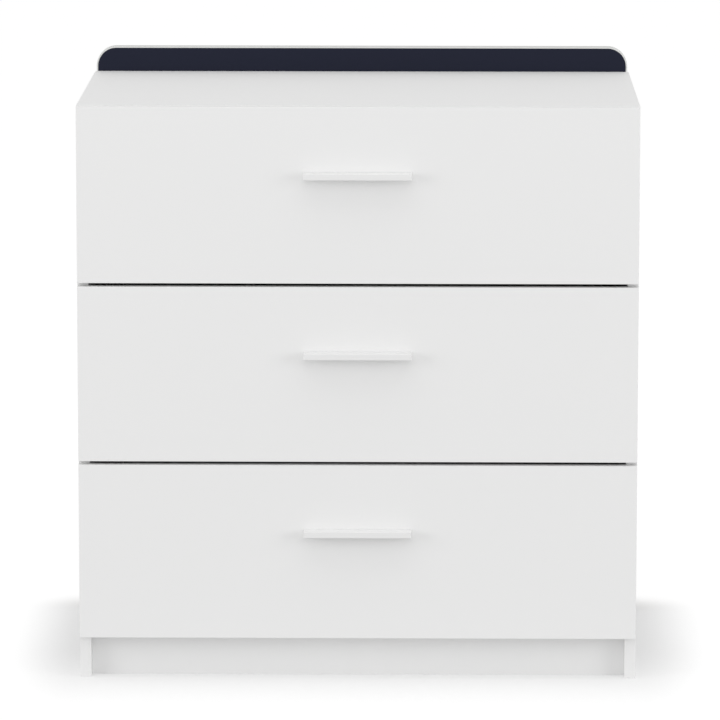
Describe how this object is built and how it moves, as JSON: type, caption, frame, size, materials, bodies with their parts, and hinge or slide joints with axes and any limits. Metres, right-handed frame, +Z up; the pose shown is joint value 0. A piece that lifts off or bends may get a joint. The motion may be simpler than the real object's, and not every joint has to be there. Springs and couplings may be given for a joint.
{
  "type": "changing table",
  "caption": "Chest-type changing table in white melamine board with drawers on roller slides, ledge handles, a recessed plinth and a low navy rear guard.",
  "frame": {"origin": "on the floor, below the centre of the bounding box of the whole object with its drawers closed and its handles included", "axes": "+Z up; -Y towards the person who opens the drawers, so the drawer fronts face -Y and the guard is at +Y; +X to the right as seen from the front"},
  "size_m": [0.8, 0.513, 0.8655],
  "materials": {
    "white_melamine": "white melamine-faced chipboard, satin, with white edge banding",
    "drawer_board": "white foil-wrapped drawer board, satin",
    "white_hardboard": "white lacquered hardboard, matt",
    "handle_plastic": "white moulded plastic, satin",
    "coated_steel": "white epoxy-coated steel, semi-gloss",
    "roller_plastic": "natural white nylon, satin",
    "zinc_steel": "bright zinc-plated steel",
    "navy_melamine": "navy melamine-faced chipboard, satin",
    "pale_edge_band": "pale grey ABS edge band, satin",
    "joint_strip_plastic": "white extruded plastic joint strip"
  },
  "bodies": {
    "cabinet": {"left_side_panel": "white_melamine", "right_side_panel": "white_melamine", "top_panel": "white_melamine", "bottom_panel": "white_melamine", "plinth_front": "white_melamine", "plinth_rear": "white_melamine", "back_panel_lower": "white_hardboard", "back_panel_upper": "white_hardboard", "back_joint_strip": "joint_strip_plastic", "guard_board": "navy_melamine", "guard_edge_band": "pale_edge_band", "bottom_drawer_cabinet_runner_left": "coated_steel", "bottom_drawer_cabinet_runner_right": "coated_steel", "middle_drawer_cabinet_runner_left": "coated_steel", "middle_drawer_cabinet_runner_right": "coated_steel", "top_drawer_cabinet_runner_left": "coated_steel", "top_drawer_cabinet_runner_right": "coated_steel"},
    "bottom_drawer": {"bottom_drawer_front": "white_melamine", "bottom_drawer_side_left": "drawer_board", "bottom_drawer_side_right": "drawer_board", "bottom_drawer_back": "drawer_board", "bottom_drawer_bottom": "white_hardboard", "bottom_drawer_handle": "handle_plastic", "bottom_drawer_handle_screw_1": "zinc_steel", "bottom_drawer_handle_screw_2": "zinc_steel", "bottom_drawer_runner_left": "coated_steel", "bottom_drawer_runner_right": "coated_steel"},
    "bottom_drawer_front_roller_left": {"bottom_drawer_front_roller_left": "roller_plastic"},
    "bottom_drawer_rear_roller_left": {"bottom_drawer_rear_roller_left": "roller_plastic"},
    "bottom_drawer_front_roller_right": {"bottom_drawer_front_roller_right": "roller_plastic"},
    "bottom_drawer_rear_roller_right": {"bottom_drawer_rear_roller_right": "roller_plastic"},
    "middle_drawer": {"middle_drawer_front": "white_melamine", "middle_drawer_side_left": "drawer_board", "middle_drawer_side_right": "drawer_board", "middle_drawer_back": "drawer_board", "middle_drawer_bottom": "white_hardboard", "middle_drawer_handle": "handle_plastic", "middle_drawer_handle_screw_1": "zinc_steel", "middle_drawer_handle_screw_2": "zinc_steel", "middle_drawer_runner_left": "coated_steel", "middle_drawer_runner_right": "coated_steel"},
    "middle_drawer_front_roller_left": {"middle_drawer_front_roller_left": "roller_plastic"},
    "middle_drawer_rear_roller_left": {"middle_drawer_rear_roller_left": "roller_plastic"},
    "middle_drawer_front_roller_right": {"middle_drawer_front_roller_right": "roller_plastic"},
    "middle_drawer_rear_roller_right": {"middle_drawer_rear_roller_right": "roller_plastic"},
    "top_drawer": {"top_drawer_front": "white_melamine", "top_drawer_side_left": "drawer_board", "top_drawer_side_right": "drawer_board", "top_drawer_back": "drawer_board", "top_drawer_bottom": "white_hardboard", "top_drawer_handle": "handle_plastic", "top_drawer_handle_screw_1": "zinc_steel", "top_drawer_handle_screw_2": "zinc_steel", "top_drawer_runner_left": "coated_steel", "top_drawer_runner_right": "coated_steel"},
    "top_drawer_front_roller_left": {"top_drawer_front_roller_left": "roller_plastic"},
    "top_drawer_rear_roller_left": {"top_drawer_rear_roller_left": "roller_plastic"},
    "top_drawer_front_roller_right": {"top_drawer_front_roller_right": "roller_plastic"},
    "top_drawer_rear_roller_right": {"top_drawer_rear_roller_right": "roller_plastic"}
  },
  "joints": [
    {"name": "bottom_drawer_slide", "type": "slide", "parent": "cabinet", "child": "bottom_drawer", "axis": [0, -1, 0], "range_m": [0, 0.33]},
    {"name": "bottom_drawer_front_roller_left_spin", "type": "hinge", "parent": "cabinet", "child": "bottom_drawer_front_roller_left", "pos_m": [-0.3779, -0.2005, 0.0975], "axis": [1, 0, 0], "range_deg": [-5, 1895]},
    {"name": "bottom_drawer_rear_roller_left_spin", "type": "hinge", "parent": "bottom_drawer", "child": "bottom_drawer_rear_roller_left", "pos_m": [-0.3779, 0.2078, 0.0975], "axis": [1, 0, 0], "range_deg": [-5, 1895]},
    {"name": "bottom_drawer_front_roller_right_spin", "type": "hinge", "parent": "cabinet", "child": "bottom_drawer_front_roller_right", "pos_m": [0.3779, -0.2005, 0.0975], "axis": [1, 0, 0], "range_deg": [-5, 1895]},
    {"name": "bottom_drawer_rear_roller_right_spin", "type": "hinge", "parent": "bottom_drawer", "child": "bottom_drawer_rear_roller_right", "pos_m": [0.3779, 0.2078, 0.0975], "axis": [1, 0, 0], "range_deg": [-5, 1895]},
    {"name": "middle_drawer_slide", "type": "slide", "parent": "cabinet", "child": "middle_drawer", "axis": [0, -1, 0], "range_m": [0, 0.33]},
    {"name": "middle_drawer_front_roller_left_spin", "type": "hinge", "parent": "cabinet", "child": "middle_drawer_front_roller_left", "pos_m": [-0.3779, -0.2005, 0.3549], "axis": [1, 0, 0], "range_deg": [-5, 1895]},
    {"name": "middle_drawer_rear_roller_left_spin", "type": "hinge", "parent": "middle_drawer", "child": "middle_drawer_rear_roller_left", "pos_m": [-0.3779, 0.2078, 0.3549], "axis": [1, 0, 0], "range_deg": [-5, 1895]},
    {"name": "middle_drawer_front_roller_right_spin", "type": "hinge", "parent": "cabinet", "child": "middle_drawer_front_roller_right", "pos_m": [0.3779, -0.2005, 0.3549], "axis": [1, 0, 0], "range_deg": [-5, 1895]},
    {"name": "middle_drawer_rear_roller_right_spin", "type": "hinge", "parent": "middle_drawer", "child": "middle_drawer_rear_roller_right", "pos_m": [0.3779, 0.2078, 0.3549], "axis": [1, 0, 0], "range_deg": [-5, 1895]},
    {"name": "top_drawer_slide", "type": "slide", "parent": "cabinet", "child": "top_drawer", "axis": [0, -1, 0], "range_m": [0, 0.33]},
    {"name": "top_drawer_front_roller_left_spin", "type": "hinge", "parent": "cabinet", "child": "top_drawer_front_roller_left", "pos_m": [-0.3779, -0.2005, 0.6123], "axis": [1, 0, 0], "range_deg": [-5, 1895]},
    {"name": "top_drawer_rear_roller_left_spin", "type": "hinge", "parent": "top_drawer", "child": "top_drawer_rear_roller_left", "pos_m": [-0.3779, 0.2078, 0.6123], "axis": [1, 0, 0], "range_deg": [-5, 1895]},
    {"name": "top_drawer_front_roller_right_spin", "type": "hinge", "parent": "cabinet", "child": "top_drawer_front_roller_right", "pos_m": [0.3779, -0.2005, 0.6123], "axis": [1, 0, 0], "range_deg": [-5, 1895]},
    {"name": "top_drawer_rear_roller_right_spin", "type": "hinge", "parent": "top_drawer", "child": "top_drawer_rear_roller_right", "pos_m": [0.3779, 0.2078, 0.6123], "axis": [1, 0, 0], "range_deg": [-5, 1895]}
  ],
  "couplings": [
    {"joint": "bottom_drawer_front_roller_left_spin", "follows": "bottom_drawer_slide", "rad_per_m": 100},
    {"joint": "bottom_drawer_rear_roller_left_spin", "follows": "bottom_drawer_slide", "rad_per_m": 100},
    {"joint": "bottom_drawer_front_roller_right_spin", "follows": "bottom_drawer_slide", "rad_per_m": 100},
    {"joint": "bottom_drawer_rear_roller_right_spin", "follows": "bottom_drawer_slide", "rad_per_m": 100},
    {"joint": "middle_drawer_front_roller_left_spin", "follows": "middle_drawer_slide", "rad_per_m": 100},
    {"joint": "middle_drawer_rear_roller_left_spin", "follows": "middle_drawer_slide", "rad_per_m": 100},
    {"joint": "middle_drawer_front_roller_right_spin", "follows": "middle_drawer_slide", "rad_per_m": 100},
    {"joint": "middle_drawer_rear_roller_right_spin", "follows": "middle_drawer_slide", "rad_per_m": 100},
    {"joint": "top_drawer_front_roller_left_spin", "follows": "top_drawer_slide", "rad_per_m": 100},
    {"joint": "top_drawer_rear_roller_left_spin", "follows": "top_drawer_slide", "rad_per_m": 100},
    {"joint": "top_drawer_front_roller_right_spin", "follows": "top_drawer_slide", "rad_per_m": 100},
    {"joint": "top_drawer_rear_roller_right_spin", "follows": "top_drawer_slide", "rad_per_m": 100}
  ]
}
